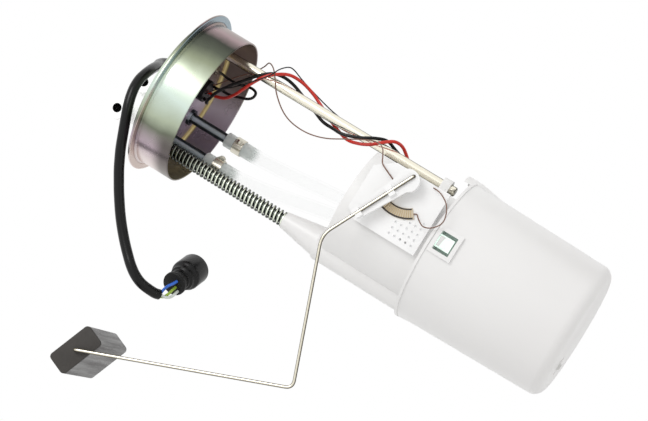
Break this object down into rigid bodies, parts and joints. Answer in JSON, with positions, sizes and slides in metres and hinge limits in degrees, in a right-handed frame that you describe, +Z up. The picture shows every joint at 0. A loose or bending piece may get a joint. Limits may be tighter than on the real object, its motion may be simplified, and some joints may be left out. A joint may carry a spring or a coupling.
{
  "type": "in-tank fuel pump module",
  "caption": "In-tank fuel pump module: plated steel flange, two guide rods, and a sprung swirl pot with electric pump, level sender arm and float, and a harness with a round connector.",
  "frame": {"origin": "centre of the flange's sealing seat, the underside of the rim", "axes": "+Z up out of the tank along the guide rods, +X towards the long guide rod, -Y towards the level sender"},
  "size_m": [0.2874, 0.134, 0.3938],
  "materials": {
    "yellow_zinc": "yellow iridescent zinc plating on pressed steel, satin",
    "plated_steel": "bright plated steel, satin",
    "pipe_steel": "dark drawn steel",
    "spring_steel": "spring steel wire",
    "white_nylon": "white moulded nylon",
    "milky_acetal": "milky translucent acetal",
    "pale_hose": "pale translucent fuel hose",
    "black_rubber": "black rubber",
    "black_sheath": "black cable sheath",
    "blue_core": "blue wire insulation",
    "green_core": "green and yellow wire insulation",
    "natural_core": "clear wire insulation",
    "red_core": "red wire insulation",
    "black_core": "black wire insulation",
    "brown_core": "brown wire insulation",
    "black_plastic": "black moulded plastic",
    "brass_pins": "brass terminals",
    "pump_can_steel": "plated steel can",
    "ferrite": "ferrite magnet",
    "copper_windings": "wound copper on laminations",
    "impeller_plastic": "moulded impeller",
    "mesh_nylon": "woven nylon mesh",
    "ceramic_card": "ceramic resistor card",
    "carbon": "carbon brush",
    "float_foam": "dark grey closed-cell float"
  },
  "bodies": {
    "flange": {"flange_top": "yellow_zinc", "flange_skirt": "yellow_zinc", "long_guide_rod": "plated_steel", "split_pin": "plated_steel", "spring_guide_rod": "plated_steel", "return_spring": "spring_steel", "outlet_pipe": "pipe_steel", "return_pipe": "pipe_steel", "pipe_seals": "black_rubber", "outlet_elbow": "white_nylon", "return_elbow": "white_nylon", "outlet_hose": "pale_hose", "return_hose": "pale_hose", "upper_hose_clamps": "plated_steel", "cable_gland": "black_rubber", "harness_cable": "black_sheath", "wire_blue": "blue_core", "wire_green": "green_core", "wire_natural": "natural_core", "cable_cores": "black_core", "connector_seal": "black_rubber", "connector_shell": "black_plastic", "connector_pins": "brass_pins", "bulkhead_plug": "black_rubber", "earth_tag": "plated_steel", "pump_wire_red": "red_core", "pump_wire_black": "black_core", "earth_wire": "black_core", "sender_wire_brown": "brown_core", "sender_wire_dark": "black_core"},
    "pot": {"lower_hose_clamps": "plated_steel", "carrier": "milky_acetal", "swirl_pot": "milky_acetal", "foot_valve": "black_rubber", "inlet_strainer": "mesh_nylon", "pump_isolator": "black_rubber", "pump_brushes": "carbon", "pump_can": "pump_can_steel", "pump_outlet_cap": "black_plastic", "pump_inlet_cap": "black_plastic", "pump_magnets": "ferrite", "sender_base": "white_nylon", "resistor_card": "ceramic_card", "pivot_screw": "plated_steel", "sender_lead": "brown_core"},
    "float_arm": {"wiper_lever": "white_nylon", "wiper_contact": "brass_pins", "float_arm_wire": "plated_steel", "float_block": "float_foam"},
    "pump_rotor": {"armature": "copper_windings", "impeller": "impeller_plastic"}
  },
  "joints": [
    {"name": "pot_slide", "type": "slide", "parent": "flange", "child": "pot", "axis": [0, 0, 1], "range_m": [0, 0.045], "stiffness_N_per_m": 200, "springref_m": -0.03, "deforming": ["return_spring", "outlet_hose", "return_hose", "pump_wire_red", "pump_wire_black", "sender_wire_brown", "sender_wire_dark"]},
    {"name": "float_arm_hinge", "type": "hinge", "parent": "pot", "child": "float_arm", "pos_m": [0.0295, -0.0605, -0.195], "axis": [0, 1, 0], "range_deg": [-62, 3]},
    {"name": "pump_spin", "type": "hinge", "parent": "pot", "child": "pump_rotor", "pos_m": [0.006, 0, -0.26], "axis": [0, 0, 1], "continuous": true}
  ]
}
